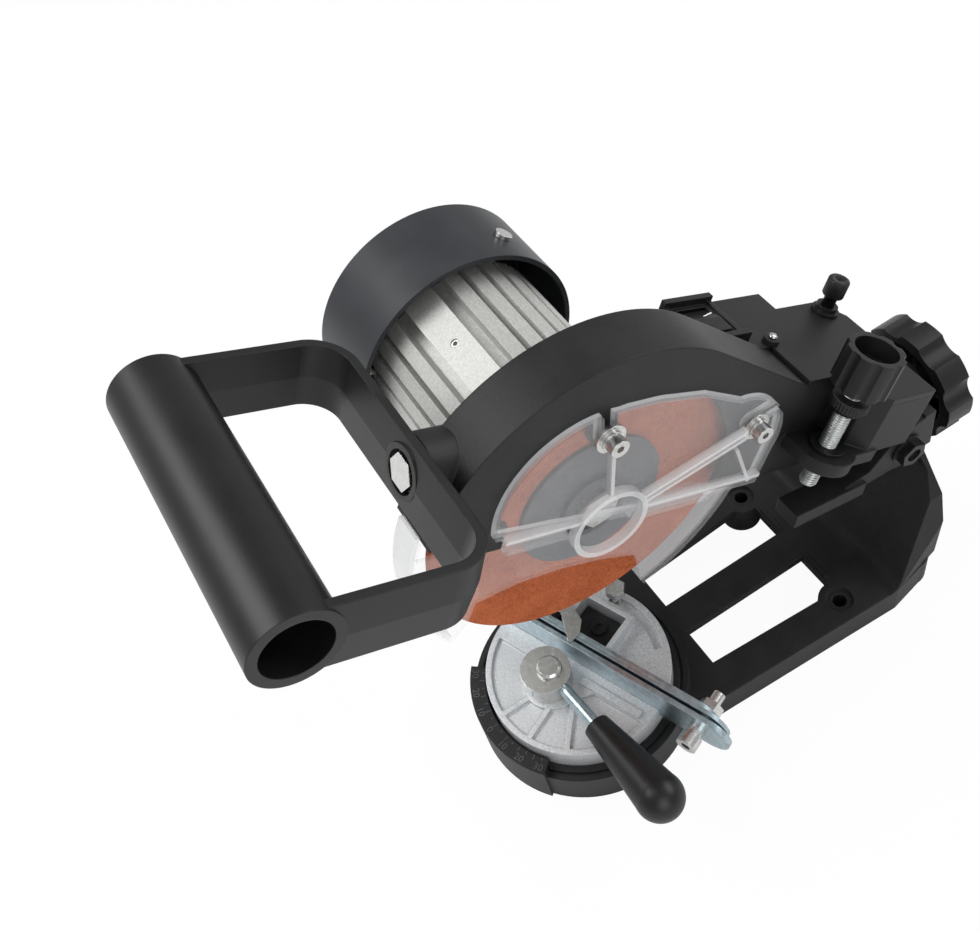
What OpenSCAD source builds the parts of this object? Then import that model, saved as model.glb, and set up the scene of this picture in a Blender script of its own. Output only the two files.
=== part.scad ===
// Bench-mounted electric chainsaw sharpener, in millimetres, +Z up.
// The origin is midway between the two bench-mounting holes, on the bench.
// +Y runs from the operator to the hinge at the rear, +X to the operator's right.
// The head is drawn swung up above the vise, in the head frame: origin on the
// hinge axis, y along the arm, z along the depth rod, tipped up by head_up.

/* [Base] */
// Height of the base plate's top above the bench
base_h = 18; // [16:1:22]
// Thickness of the base plate
plate_t = 5; // [4:0.5:6]
// Thickness of the skirt round the base
skirt_t = 5; // [4:0.5:6]
// Width of the base where it leaves the vise seat
base_front_w = 93; // [88:1:96]
// Width of the base at the bench holes
base_rear_w = 104; // [100:1:110]
// Distance from the bench holes to the rear edge
base_tail_y = 55.2; // [54:0.2:60]
// Width of the base's rear edge
base_tail_w = 96; // [88:1:100]
// Radius of the base's rear corners
base_corner_r = 11; // [8:1:16]
// Distance from the bench holes to the foot of the leaning wall
wall_foot_y = 25.5; // [22:0.5:28]
// Height at which the leaning wall turns upright
wall_turn_z = 66; // [64:1:70]
// Height of the wall's shoulders
shoulder_z = 57; // [54:1:60]
// Width of the wall at its shoulders
shoulder_w = 77; // [70:1:84]
// Thickness of the wall at the tilt boss
wall_t = 6.5; // [6:0.1:8]
// Radius of the hollow between the plate and the wall
fillet_r = 9; // [6:0.5:12]
// Spacing of the two bench holes
bench_spacing = 78; // [74:1:80]
// Diameter of a bench hole
bench_d = 7; // [6:0.5:8.5]
// Diameter of the boss round a bench hole
bench_boss_d = 21; // [18:1:22]
// Length of the two slots in the plate
slot_len = 72; // [60:1:76]
// Distance from the bench holes to the rear end of the slots
slot_end_y = 1; // [0:0.5:4]
// Distance from the middle to the inner edge of a slot
slot_in = 9; // [7:0.5:12]
// Distance from the middle to a slot's outer edge at the front
slot_out_front = 30; // [26:1:32]
// Distance from the middle to a slot's outer edge at the rear
slot_out_rear = 34; // [32:1:36]

/* [Vise] */
// Distance from the bench holes to the turntable's axis
vise_reach = 129; // [126:1:134]
// Radius of the round seat under the turntable
seat_r = 53; // [52:0.5:55]
// Height of the seat's top
seat_z = 22; // [21:0.5:24]
// Radius of the turntable
table_r = 45.4; // [44:0.1:46]
// Height of the turntable's top
table_top = 35.3; // [33:0.1:37]
// Radius of the turntable's pivot spigot
spigot_r = 12; // [10:0.5:14]
// Height of the angle scale above the seat
scale_rise = 6.5; // [5:0.5:8]
// Angle that the scale covers to each side of zero
scale_half = 39; // [36:1:42]
// Angle of the turntable as drawn
vise_angle = 22; // [0:1:35]
// Length of the guide rails
rail_len = 132; // [120:1:140]
// Height of the guide rails
rail_h = 22; // [20:1:24]
// Height of the rails' top edges
rail_top = 52; // [48:1:54]
// Thickness of the front rail
rail_t = 2.5; // [2:0.1:3]
// Gap between the rails that holds the chain's drive links
chain_gap = 1.6; // [1.3:0.1:2]
// Distance from the turntable's axis to the front rail's outer face
rail_v = 1.5; // [1:0.5:3]
// Overhang of the rails past the turntable's axis, at the closed end
rail_tail = 49; // [45:1:52]
// Radius of the clamp's eccentric collar
collar_r = 12.2; // [11:0.1:13]
// Radius of the clamp pin
clamp_pin_r = 6; // [5:0.1:6.5]
// Length of the clamp lever from the collar's axis to the ball end
lever_len = 81; // [70:1:90]
// Direction of the clamp lever, from the rails
lever_angle = -17.5; // [-30:0.5:-10]
// Rise of the clamp lever
lever_rise = 5; // [4:0.5:7]
// Radius of the lever knob's ball end
ball_r = 11.5; // [10:0.5:13]

/* [Hinge] */
// Distance from the bench holes to the hinge axis
hinge_y = 42.5; // [40:0.5:44]
// Height of the hinge axis
hinge_z = 97; // [94:1:100]
// Tip of the head as drawn
head_up = 27; // [20:1:30]
// Tip of the head when the depth rod rests on its stop
head_low = 13.2; // [13:0.1:15]
// Radius of the round ends of the hinge lugs
lug_r = 13; // [12:0.5:14]
// Thickness of a hinge lug
lug_t = 9; // [8:0.5:10]
// Width of the arm's knuckle between the lugs
knuckle_w = 35.4; // [32:0.2:38]
// Radius of the arm's knuckle
knuckle_r = 9.5; // [8.5:0.5:10]
// Radius of the hinge bolt
hinge_pin_r = 4; // [3:0.5:5]
// Thickness of the tilt bracket's rear plate
bracket_t = 6; // [5:0.5:7]
// Height of the tilt axis
tilt_z = 100; // [98:1:102]
// Radius of the tilt boss
boss_r = 17; // [16:1:20]
// Radius of the tilt stud
stud_r = 5; // [4:0.5:6]
// Radius of the star knob over its lobes
star_r = 29; // [26:1:30]
// Thickness of the star knob
star_t = 14; // [13:1:16]

/* [Head] */
// Distance from the hinge axis to the wheel's axis
wheel_reach = 162.4; // [160:0.1:166]
// Drop of the wheel's axis below the hinge axis, in the head frame
wheel_drop = 8; // [7:0.5:9]
// Outer radius of the wheel housing
shroud_r = 79.5; // [79:0.1:81]
// Wall thickness of the wheel housing
shroud_t = 3.2; // [2.8:0.1:3.4]
// Front face of the wheel housing, from the wheel's plane
shroud_front = 10; // [9:0.5:11]
// Rear face of the wheel housing, from the wheel's plane
shroud_back = 15; // [14:0.5:16]
// Height of the housing's front end, from the wheel's axis
shroud_low = 2.5; // [2:0.1:4]
// Slope of the housing's ramp down to the arm
ramp = 24.5; // [22:0.5:27]
// Height of the arm's top over the hinge axis, in the head frame
arm_top = 36.4; // [35:0.1:38]
// Depth of the arm below its top
arm_h = 49; // [47:1:51]
// Width of the arm
arm_w = 60; // [56:1:62]
// Wall thickness of the arm
arm_t = 4; // [3.5:0.5:5]
// Thickness of the arm's top cover
cover_t = 2.5; // [2:0.5:3]
// Sideways place of the depth rod
rod_x = 22.5; // [22:0.5:23]
// Distance from the hinge axis to the depth rod
rod_y = 55; // [54.5:0.5:56]
// Radius of the depth rod
rod_r = 4; // [3.5:0.5:4.5]
// Height of the depth rod's end over the hinge axis, in the head frame
rod_end = -10; // [-12:0.5:-8]
// Height of the depth rod's top over the hinge axis, in the head frame
rod_top = 55; // [52:1:58]
// Radius of the depth knob
depth_knob_r = 12.5; // [11:0.5:13.5]
// Height of the depth knob
depth_knob_h = 18; // [15:1:20]

/* [Wheel and motor] */
// Diameter of the grinding wheel
wheel_d = 145; // [140:1:145]
// Thickness of the grinding wheel
wheel_t = 3.2; // [3:0.1:4.5]
// Bore of the grinding wheel
wheel_bore = 22.2; // [20:0.1:24]
// Radius of the wheel flanges
flange_r = 33; // [28:1:35]
// Radius of the spindle
spindle_r = 6; // [5:0.5:7]
// Radius over the motor's fins
motor_r = 42; // [40:0.5:43]
// Radius of the motor housing below its fins
motor_core_r = 37; // [36:0.5:38]
// Length of the finned motor housing
motor_len = 92; // [88:1:96]
// Number of fins round the motor
fin_count = 25; // [17:1:31]
// Radius of the fan cover
fan_cover_r = 53; // [50:0.5:54]
// Length of the fan cover
fan_cover_len = 46; // [42:1:50]
// Wall thickness of the fan cover
fan_cover_t = 2.2; // [2:0.1:3]

/* [Handle] */
// Sideways place of the handle's middle
handle_x = -10.5; // [-12:0.5:-9]
// Height of the handle's middle over the hinge axis, in the head frame
handle_z = 20; // [18:1:22]
// Width of the handle loop
handle_w = 125; // [120:1:130]
// Gap between the housing's front and the handle's rear bar
handle_gap = 1.6; // [1.2:0.1:3]
// Distance from the rear bar to the grip's axis
grip_reach = 72; // [66:1:76]
// Height of the handle's band
band_h = 28; // [26:1:30]
// Thickness of the handle's band
band_t = 5.5; // [5:0.5:6.5]
// Depth of the bolt's recess in the band
bolt_sink = 4; // [3.6:0.1:4.2]
// Radius of the loop's rear corners
corner_r = 18; // [16:1:22]
// Outer radius of the grip
grip_r = 16.5; // [15:0.5:18]
// Radius of the hole through the grip
grip_bore_r = 12.5; // [11:0.5:13]

/* [Guards] */
// Thickness of the clear guards
clear_t = 2; // [1.6:0.1:2]
// Radius of the lower guard
guard_r = 82.5; // [82:0.1:84]
// Front face of the upper cover, from the wheel's plane
cover_x = 14; // [13.5:0.5:15]
// Reach of the upper cover behind the wheel's axis
cover_end = 84; // [82:1:86]
// Height of the upper cover's lower edge, from the wheel's axis
cover_low = -3.5; // [-4:0.1:-3]
// Front face of the lower guard, from the wheel's plane
guard_x = 6; // [6:0.1:7]

/* [Hidden] */
$fn = 64;

// Clearances
gap = 0.3;          // between pieces of different bodies
run = 0.05;         // running fit of a pin in its bore
eps = 1;            // overshoot of a cut past a face
// Colours
black = [0.09, 0.09, 0.10];
dark = [0.20, 0.21, 0.22];
zinc = [0.70, 0.74, 0.75];
alloy = [0.76, 0.77, 0.77];
steel = [0.62, 0.63, 0.64];
clear = [0.85, 0.90, 0.92, 0.35];
// Base
slot_front_y = slot_end_y - slot_len;
seat_in_r = table_r + 1.2;
scale_z = seat_z + scale_rise;
vise_y = -vise_reach;
// Vise: u runs along the rails, v across them, both from the turntable's axis
table_z = seat_z + 0.1;
spigot_z = 6;
washer_t = 1.6;
rail_low = rail_top - rail_h;
rear_v = rail_v + rail_t + chain_gap;
rear_t = 2;
back_v = rear_v + rear_t;
collar_u = -6;
collar_v = -12.5;
collar_h = 12;
collar_z = table_top + 0.1;
pin_ecc = 3;
lever_z = collar_z + collar_h / 2;
// Hinge
lug_in = knuckle_w / 2 + gap;
lug_x = lug_in + lug_t;
bracket_y = hinge_y + knuckle_r + gap;
wall_y = bracket_y + bracket_t + gap;
wall_back = wall_y + wall_t;
lean = (wall_y - wall_foot_y) / (wall_turn_z - base_h);
star_y = wall_back + 0.3;
hub_y = wall_back + 1.5;
stop_tip = rod_y + 8;
stop_t = 8;
stop_w = 13;
// Head frame
wheel_y = -wheel_reach;
handle_reach = wheel_reach + shroud_r + handle_gap;
wheel_z = -wheel_drop;
arm_x = shroud_front;
arm_dy = arm_top + wheel_drop;
ramp_y = (shroud_r - arm_dy * cos(ramp)) / sin(ramp);
arm_front = wheel_y + 52;
arm_rear = -11;
arm_step_z = 9.2;
arm_low = arm_top - arm_h;
ledge_x = 31;
ledge_front = -48;
ear_top = 11;
ear_t = 6.5;
ear_r = 13.5;
bush_r = rod_r + 3;
knob_low = rod_top + 7 - depth_knob_h;
switch_x = -35;
switch_y = wheel_y + 70.9;
// Spindle: x from the wheel's plane, positive towards the front cover
wheel_r = wheel_d / 2;
motor_x = -shroud_back;
motor_end = motor_x - motor_len;
fan_x = motor_end + 13;
fan_end = fan_x - fan_cover_len;
stator_r = 33;
rotor_r = 20;

// Frames
module head_frame() {
    translate([0, hinge_y, hinge_z]) rotate([-head_up, 0, 0]) children();
}

module spindle_frame() {
    head_frame() translate([0, wheel_y, wheel_z]) rotate([0, 90, 0]) children();
}

module wheel_frame() {
    head_frame() translate([0, wheel_y, wheel_z]) children();
}

module vise_frame() {
    translate([0, vise_y, 0]) rotate([0, 0, vise_angle]) children();
}

// A ring along +z
module ring(outer, inner, h) {
    difference() {
        cylinder(r = outer, h = h);
        translate([0, 0, -eps]) cylinder(r = inner, h = h + 2 * eps);
    }
}

// A socket-head screw along +z with its head above z = 0
module socket_screw(r, head_r, head_h, len, key) {
    difference() {
        union() {
            cylinder(r = head_r, h = head_h);
            translate([0, 0, -len]) cylinder(r = r, h = len + 0.01);
        }
        translate([0, 0, head_h * 0.45]) cylinder(r = key, h = head_h, $fn = 6);
    }
}

// A hexagon along +z
module hex(across, h) {
    cylinder(r = across / 2 / cos(30), h = h, $fn = 6);
}

// ---- Base ----

// Plan of the base, drawn in by a wall
module base_plan(inset) {
    translate([0, vise_y]) circle(r = seat_r - inset, $fn = 96);
    half_f = base_front_w / 2 - inset;
    half_r = base_rear_w / 2 - inset;
    half_t = base_tail_w / 2 - inset;
    r = base_corner_r - inset;
    tail = base_tail_y - inset;
    polygon([[-half_f, vise_y + 24], [half_f, vise_y + 24], [half_r, wall_foot_y], [half_t, tail - r],
        [half_t - r, tail], [-half_t + r, tail], [-half_t, tail - r], [-half_r, wall_foot_y]]);
    for (s = [-1, 1]) translate([s * (half_t - r), tail - r]) circle(r = r);
}

// Side view of the wall at the rear, in y and z: it leans back from the plate
// in a wide hollow, then stands upright behind the tilt bracket
module wall_side() {
    a = atan(lean);
    tangent = fillet_r * tan((90 - a) / 2);
    top = tilt_z + boss_r;
    difference() {
        polygon([[wall_foot_y - tangent, base_h - eps], [wall_foot_y - tangent, base_h],
            [wall_foot_y + tangent * sin(a), base_h + tangent * cos(a)], [wall_y, wall_turn_z],
            [wall_y, top], [wall_back, top], [wall_back, tilt_z],
            [base_tail_y, base_h], [base_tail_y, base_h - eps]]);
        translate([wall_foot_y - tangent, base_h + fillet_r]) circle(r = fillet_r);
    }
}

// Front view of the wall, in x and z: sides drawn in to shoulders, and a boss
module wall_front(inset) {
    foot = base_rear_w / 2 - inset;
    half = shoulder_w / 2 - inset;
    neck = boss_r + 1 - inset;
    polygon([[-foot, -eps], [foot, -eps], [foot, base_h], [half, shoulder_z - inset],
        [neck, shoulder_z + 19 - inset], [boss_r - inset, tilt_z], [-boss_r + inset, tilt_z],
        [-neck, shoulder_z + 19 - inset], [-half, shoulder_z - inset], [-foot, base_h]]);
    translate([0, tilt_z]) circle(r = boss_r - inset);
}

// Plan of the wall, drawn in towards its back
module wall_plan() {
    foot = base_rear_w / 2;
    tail = base_tail_w / 2 - 3;
    polygon([[-foot, 0], [foot, 0], [foot, wall_foot_y], [tail, base_tail_y],
        [tail - 4, wall_back + eps], [-tail + 4, wall_back + eps], [-tail, base_tail_y],
        [-foot, wall_foot_y]]);
}

module wall() {
    intersection() {
        translate([-base_rear_w, 0, 0]) rotate([90, 0, 90])
            linear_extrude(2 * base_rear_w) wall_side();
        translate([0, base_tail_y + 40, 0]) rotate([90, 0, 0])
            linear_extrude(base_tail_y + 40) wall_front(0);
        linear_extrude(tilt_z + boss_r + eps) wall_plan();
    }
}

// Hollow behind the leaning wall, open below
module wall_hollow() {
    shell = skirt_t + 1;
    back = (wall_back - base_tail_y) / (tilt_z - base_h);
    inner = wall_foot_y + shell * sqrt(1 + lean * lean);
    top = (inner - lean * base_h - base_tail_y + shell + back * base_h) / (back - lean);
    intersection() {
        translate([-base_rear_w, 0, 0]) rotate([90, 0, 90]) linear_extrude(2 * base_rear_w)
            polygon([[inner - lean * (base_h + eps), -eps], [base_tail_y - shell, -eps],
                [inner + lean * (top - base_h), top]]);
        translate([0, base_tail_y + 40, 0]) rotate([90, 0, 0])
            linear_extrude(base_tail_y + 40) wall_front(shell);
    }
}

// Plan of one slot, on the +X side
module slot_plan() {
    polygon([[slot_in, slot_front_y], [slot_out_front, slot_front_y],
        [slot_out_rear, slot_end_y], [slot_in, slot_end_y]]);
}

// Sector of a circle centred on the operator's side
module front_sector(r, half) {
    polygon([[0, 0], [-r * tan(half), -r], [r * tan(half), -r]]);
}

module base_solid() {
    linear_extrude(base_h) base_plan(0);
    translate([0, vise_y, 0]) cylinder(r = seat_r, h = seat_z, $fn = 96);
    translate([0, vise_y, 0]) intersection() {
        translate([0, 0, seat_z]) ring(seat_r + 1.5, seat_in_r, scale_rise);
        linear_extrude(scale_z + eps) front_sector(seat_r + 4, scale_half);
    }
    translate([0, vise_y, 0]) intersection() {
        cylinder(r = seat_r + 1.5, h = seat_z, $fn = 96);
        linear_extrude(scale_z + eps) front_sector(seat_r + 4, scale_half);
    }
}

module base_plate() {
    color(black) difference() {
        union() {
            difference() {
                union() {
                    base_solid();
                    wall();
                }
                translate([0, 0, -eps]) linear_extrude(base_h - plate_t + eps) base_plan(skirt_t);
                wall_hollow();
            }
            for (s = [-1, 1])
                translate([s * bench_spacing / 2, 0, 0]) cylinder(d = bench_boss_d, h = base_h);
            translate([0, vise_y, spigot_z + 0.2])
                cylinder(r = spigot_r + 5, h = base_h - spigot_z - 0.2);
            for (s = [0, 1]) mirror([s, 0, 0])
                translate([slot_in + 0.5, slot_end_y + 1.1, base_h - 1]) cube([16, 2, 2]);
        }
        for (s = [0, 1]) mirror([s, 0, 0]) difference() {
            translate([0, 0, -eps]) linear_extrude(base_h + 2 * eps) slot_plan();
            translate([bench_spacing / 2, 0, -2 * eps]) cylinder(d = bench_boss_d, h = base_h + 4 * eps);
        }
        for (s = [-1, 1]) translate([s * bench_spacing / 2, 0, 0]) {
            translate([0, 0, -eps]) cylinder(d = bench_d, h = base_h + 2 * eps);
            translate([0, 0, base_h - 1.5]) cylinder(d = bench_d + 6, h = 2 * eps + 1.5);
        }
        translate([0, vise_y, -eps]) cylinder(r = spigot_r + run, h = seat_z + 2 * eps);
        translate([0, wall_y - eps, tilt_z]) rotate([-90, 0, 0])
            cylinder(r = stud_r + run, h = wall_t + 2 * eps);
        translate([0, vise_y, seat_z - 1.2]) ring(seat_in_r + 3.4, seat_in_r + 2.2, scale_rise);
    }
}

// Side view of a hinge lug, in y and z: a round end on the hinge, the web back
// to the bracket's plate, and the nose that runs forward to the stop
module lug_plan(forward) {
    translate([hinge_y, hinge_z]) circle(r = lug_r);
    polygon([[hinge_y, hinge_z + lug_r], [bracket_y + bracket_t, hinge_z + lug_r + 2],
        [bracket_y + bracket_t, hinge_z - 9], [bracket_y, hinge_z - 9], [hinge_y + 4, hinge_z - 12]]);
    if (forward > 0) translate([hinge_y, hinge_z]) rotate(-head_low)
        polygon([[0, -lug_r + 1], [-forward, rod_end - stop_t + 1], [-forward, rod_end], [-20, -6],
            [-10, lug_r - 5], [0, lug_r - 4]]);
}

// Places a y-z outline at x, thickness t towards +x
module upright(x, t) {
    translate([x, 0, 0]) rotate([90, 0, 90]) linear_extrude(t) children();
}

module tilt_bracket() {
    color(black) difference() {
        union() {
            upright(lug_in, lug_t) lug_plan(34);
            upright(-lug_x, lug_t) lug_plan(0);
            translate([0, bracket_y, tilt_z]) rotate([-90, 0, 0]) cylinder(r = boss_r, h = bracket_t);
            translate([-lug_x, bracket_y, hinge_z - 9])
                cube([2 * lug_x, bracket_t, lug_r + 11]);
            translate([rod_x - stop_w / 2, hinge_y, hinge_z]) rotate([-head_low, 0, 0])
                translate([0, -stop_tip, rod_end - stop_t]) cube([stop_w, stop_tip - 22, stop_t]);
        }
        translate([-lug_x - eps, hinge_y, hinge_z]) rotate([0, 90, 0])
            cylinder(r = hinge_pin_r, h = 2 * (lug_x + eps));
        translate([0, bracket_y - eps, tilt_z]) rotate([-90, 0, 0])
            cylinder(r = stud_r, h = bracket_t + 2 * eps);
    }
}

// Bolt through both lugs, with a hexagon head that has a hollow end
module hinge_bolt() {
    color(dark) translate([0, hinge_y, hinge_z]) rotate([0, 90, 0]) {
        translate([0, 0, -lug_x - 8]) cylinder(r = hinge_pin_r, h = 2 * lug_x + 8.01);
        translate([0, 0, lug_x]) difference() {
            union() {
                cylinder(r = 8, h = 1.2);
                translate([0, 0, 1.19]) hex(12, 4.4);
            }
            translate([0, 0, 4]) cylinder(r = 3.6, h = 3);
        }
    }
}

module hinge_nut() {
    color(dark) translate([-lug_x, hinge_y, hinge_z]) rotate([0, -90, 0]) difference() {
        union() {
            cylinder(r = 8, h = 1.2);
            translate([0, 0, 1.19]) hex(12, 5.5);
        }
        translate([0, 0, -eps]) cylinder(r = hinge_pin_r, h = 9);
    }
}

// Stud that is fast in the bracket and passes through the wall's boss
module tilt_stud() {
    color(steel) translate([0, bracket_y, tilt_z]) rotate([-90, 0, 0])
        cylinder(r = stud_r, h = star_y + star_t - bracket_y);
}

module tilt_washer() {
    color(steel) translate([0, wall_back, tilt_z]) rotate([-90, 0, 0])
        ring(12, stud_r + run, hub_y - wall_back);
}

// Star knob with eight lobes and a hollow front
module tilt_knob() {
    lobes = 8;
    hub = 9.5;
    color(black) translate([0, star_y, tilt_z]) rotate([-90, 0, 0])
        difference() {
            union() {
                difference() {
                    cylinder(r = star_r, h = star_t, $fn = 96);
                    translate([0, 0, -eps]) cylinder(r = star_r - 6, h = star_t - 4 + eps, $fn = 96);
                    for (i = [0 : lobes - 1]) rotate([0, 0, (i + 0.5) * 360 / lobes])
                        translate([star_r + 6.2, 0, -eps]) cylinder(r = 9, h = star_t + 2 * eps);
                }
                translate([0, 0, hub_y - star_y]) cylinder(r = hub, h = star_t - hub_y + star_y);
                for (i = [0 : 3]) rotate([0, 0, i * 90])
                    translate([hub - 1, -1.25, 5]) cube([star_r - 6 - hub + 2, 2.5, star_t - 6]);
            }
            translate([0, 0, -eps]) cylinder(r = stud_r + run, h = star_t + 2 * eps);
        }
}

// ---- Head casting ----

// Side view of the housing and arm from the front, in y and z from the wheel's
// axis: an arc round the wheel that runs off down a straight ramp to the arm
module shroud_plan(r) {
    difference() {
        circle(r = r, $fn = 128);
        translate([-r - eps, -r - eps]) square([2 * r + 2 * eps, r + eps - 6]);
        translate([-r - eps, -10]) square([r - 60, 10 + shroud_low]);
    }
    polygon([[0, 0], [r * sin(ramp), r * cos(ramp)], [ramp_y, arm_dy], [ramp_y, -4], [0, -4]]);
}

// Outline of the window in the housing's front wall, with a tab for each screw
module window_plan(r) {
    difference() {
        intersection() {
            circle(r = r, $fn = 96);
            union() {
                upper_plan(3.2);
                translate([-46, -8]) square([120, 18]);
            }
        }
        for (p = guard_points()) {
            translate(p) circle(r = 6.5);
            rotate(atan2(p[1], p[0])) translate([norm(p), -6.2]) square([20, 12.4]);
        }
    }
}

// Puts a y-z outline in the wheel frame between two x values
module slab(x0, x1) {
    translate([x0, 0, 0]) rotate([90, 0, 90]) linear_extrude(x1 - x0) children();
}

// Plan of the arm seen from above, in x and y of the head frame
module arm_plan(inset) {
    left = arm_x - arm_w;
    polygon([[left + inset, arm_front + inset], [arm_x - inset, arm_front + inset],
        [arm_x - inset, arm_rear - inset], [-25 - inset * 0.4, arm_rear - inset],
        [left + 12 + inset, arm_rear - 8 - inset * 0.6], [left + 12 + inset, arm_rear - 34 - inset],
        [left + inset, arm_rear - 34 - inset]]);
}

// Plan of the ledge beside the arm, over the hinge's right lug
module ledge_plan(inset) {
    polygon([[arm_x - 2, ledge_front], [ledge_x - 7, ledge_front + 2.5], [ledge_x, ledge_front + 10],
        [ledge_x, arm_rear], [arm_x - 2, arm_rear]]);
}

module head_solid() {
    translate([0, wheel_y, wheel_z]) {
        slab(-shroud_back, shroud_front) shroud_plan(shroud_r);
        translate([-shroud_back, 0, 0]) rotate([0, 90, 0]) cylinder(r = motor_core_r + 3, h = 6);
    }
    translate([0, 0, arm_step_z]) linear_extrude(arm_top - arm_step_z) {
        arm_plan(0);
        ledge_plan(0);
    }
    intersection() {
        translate([0, 0, arm_low]) linear_extrude(arm_h) arm_plan(0);
        translate([-100, -300, arm_low]) cube([200, 300 - lug_r - 1, arm_h]);
    }
    translate([-knuckle_w / 2, 0, 0]) rotate([90, 0, 90]) linear_extrude(knuckle_w) {
        circle(r = knuckle_r);
        polygon([[0, -knuckle_r], [0, knuckle_r], [-lug_r - 3, arm_step_z + 0.5],
            [-lug_r - 3, arm_low + 1]]);
    }
    translate([0, 0, ear_top - ear_t]) linear_extrude(ear_t) {
        translate([rod_x, -rod_y]) circle(r = ear_r);
        translate([arm_x - 1, -rod_y - ear_r]) square([rod_x - arm_x + 1, 2 * ear_r]);
    }
    translate([arm_x - 0.01, -rod_y - ear_r, ear_top - ear_t]) cube([3.5, 2 * ear_r + 20, ear_t]);
    translate([arm_x - 1, -rod_y, ear_top - ear_t])
        cube([rod_x + ear_r - arm_x - 3, rod_y + ledge_front + 16, ear_t]);
    translate([handle_x + 2, -handle_reach, handle_z]) rotate([-90, 0, 0])
        cylinder(r = 13.5, h = 20);
}

module head_casting() {
    front_wall = 3;
    color(black) head_frame() difference() {
        head_solid();
        translate([0, wheel_y, wheel_z]) {
            slab(-shroud_back + 6, shroud_front - front_wall)
                circle(r = shroud_r - shroud_t, $fn = 128);
            slab(shroud_front - front_wall - eps, shroud_front + eps) window_plan(62);
            slab(shroud_front - front_wall - eps, shroud_front + eps)
                translate([-62, -90]) square([124, 84]);
            translate([-shroud_back - eps, 0, 0]) rotate([0, 90, 0])
                cylinder(r = 16, h = shroud_back);
            for (p = guard_points()) translate([0, p[0], p[1]]) rotate([0, 90, 0])
                cylinder(r = 2.5, h = shroud_front + eps);
        }
        translate([0, 0, arm_low + arm_t]) linear_extrude(arm_h) difference() {
            intersection() {
                arm_plan(arm_t);
                translate([-100, -300]) square([200, 300 - lug_r - 1 - arm_t]);
            }
            translate([-shroud_back - 3, wheel_y])
                square([shroud_front + shroud_back + 6, ramp_y + 1]);
        }
        translate([rod_x, -rod_y, ear_top - ear_t - eps]) cylinder(r = bush_r, h = ear_t + 2 * eps);
        translate([-knuckle_w / 2 - eps, 0, 0]) rotate([0, 90, 0])
            cylinder(r = hinge_pin_r + run, h = knuckle_w + 2 * eps);
        for (p = cover_points()) translate([p[0], p[1], arm_top - 6]) cylinder(r = 2, h = 6 + eps);
        translate([handle_x + 2, -handle_reach - eps, handle_z]) rotate([-90, 0, 0])
            cylinder(r = 4, h = 16);
    }
}

// Screw places of the clear cover, in y and z from the wheel's axis
function guard_points() = [[-14.7, 45.6], [65.2, 33.2]];

module arm_cover() {
    color(black) head_frame() translate([0, 0, arm_top]) linear_extrude(cover_t) difference() {
        union() {
            intersection() {
                union() {
                    arm_plan(0);
                    ledge_plan(0);
                }
                translate([-shroud_back - 60, wheel_y + ramp_y]) square([120, 200]);
            }
            intersection() {
                arm_plan(0);
                translate([-shroud_back - 60, wheel_y]) square([60, 200]);
            }
        }
        translate([switch_x - 11, switch_y - 9.5]) square([22, 19]);
        for (p = cover_points()) translate(p) circle(r = 2);
        translate(stop_point()) circle(r = 3.1);
    }
}

function cover_points() = [[-17.5, -67]];
function stop_point() = [-30.6, -20.5];

// Cover screw in a black collar, with its bright end showing
module cover_screw() {
    color(steel) head_frame() for (p = cover_points())
        translate([p[0], p[1], arm_top + cover_t]) {
            translate([0, 0, -8]) cylinder(r = 2, h = 8.01);
            cylinder(r = 3.6, h = 2.6);
            translate([0, 0, 2.6]) cylinder(r = 1.9, h = 1.2);
        }
}

module switch_bezel() {
    w = 30;
    d = 27;
    h = 5.5;
    color(black) head_frame() translate([switch_x, switch_y, arm_top + cover_t]) difference() {
        union() {
            translate([-w / 2, -d / 2, 0]) cube([w, d, 2]);
            for (s = [-1, 1]) translate([s * (w / 2 - 1.5) - 1.5, -d / 2, 0]) cube([3, d, h]);
            translate([-w / 2, -d / 2, 0]) cube([w, 2.5, h - 2.5]);
            translate([-w / 2, d / 2 - 2.5, 0]) cube([w, 2.5, h - 2.5]);
            translate([-10.9, -9.3, -9]) cube([21.8, 18.6, 9.5]);
        }
        translate([-10, -8.5, -7]) cube([20, 17, 20]);
    }
}

// Rocker on its own cross pin, tipped to its off position
module switch_rocker() {
    color(dark) head_frame() translate([switch_x, switch_y, arm_top + cover_t + 1.5]) rotate([0, -9, 0])
        rotate([90, 0, 0]) translate([0, 0, -8]) linear_extrude(16)
            polygon([[-9, -1.5], [-3, -5], [3, -5], [9, -1.5], [9, 1], [0, 2.4], [-9, 1]]);
    color(dark) head_frame() translate([switch_x, switch_y, arm_top + cover_t + 1.5])
        rotate([90, 0, 0]) translate([0, 0, -8.4]) cylinder(r = 1.5, h = 16.8);
}

module stop_screw() {
    p = stop_point();
    color(dark) head_frame() translate([p[0], p[1], arm_top + cover_t + 9])
        socket_screw(3, 5, 8.5, 11, 2.6);
}

module stop_washers() {
    p = stop_point();
    color(dark) head_frame() translate([p[0], p[1], arm_top + cover_t]) {
        ring(6.3, 3, 1.6);
        translate([0, 0, 1.6]) ring(5, 3, 2.2);
    }
}

module ear_bush() {
    color(dark) head_frame() translate([rod_x, -rod_y, 0]) {
        translate([0, 0, ear_top - ear_t]) ring(bush_r, rod_r + run, ear_t);
        translate([0, 0, ear_top]) ring(bush_r + 1.2, rod_r + run, 1.5);
    }
}

module depth_rod() {
    color(zinc) head_frame() translate([rod_x, -rod_y, rod_end]) {
        cylinder(r = rod_r, h = rod_top - rod_end);
    }
}

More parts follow.
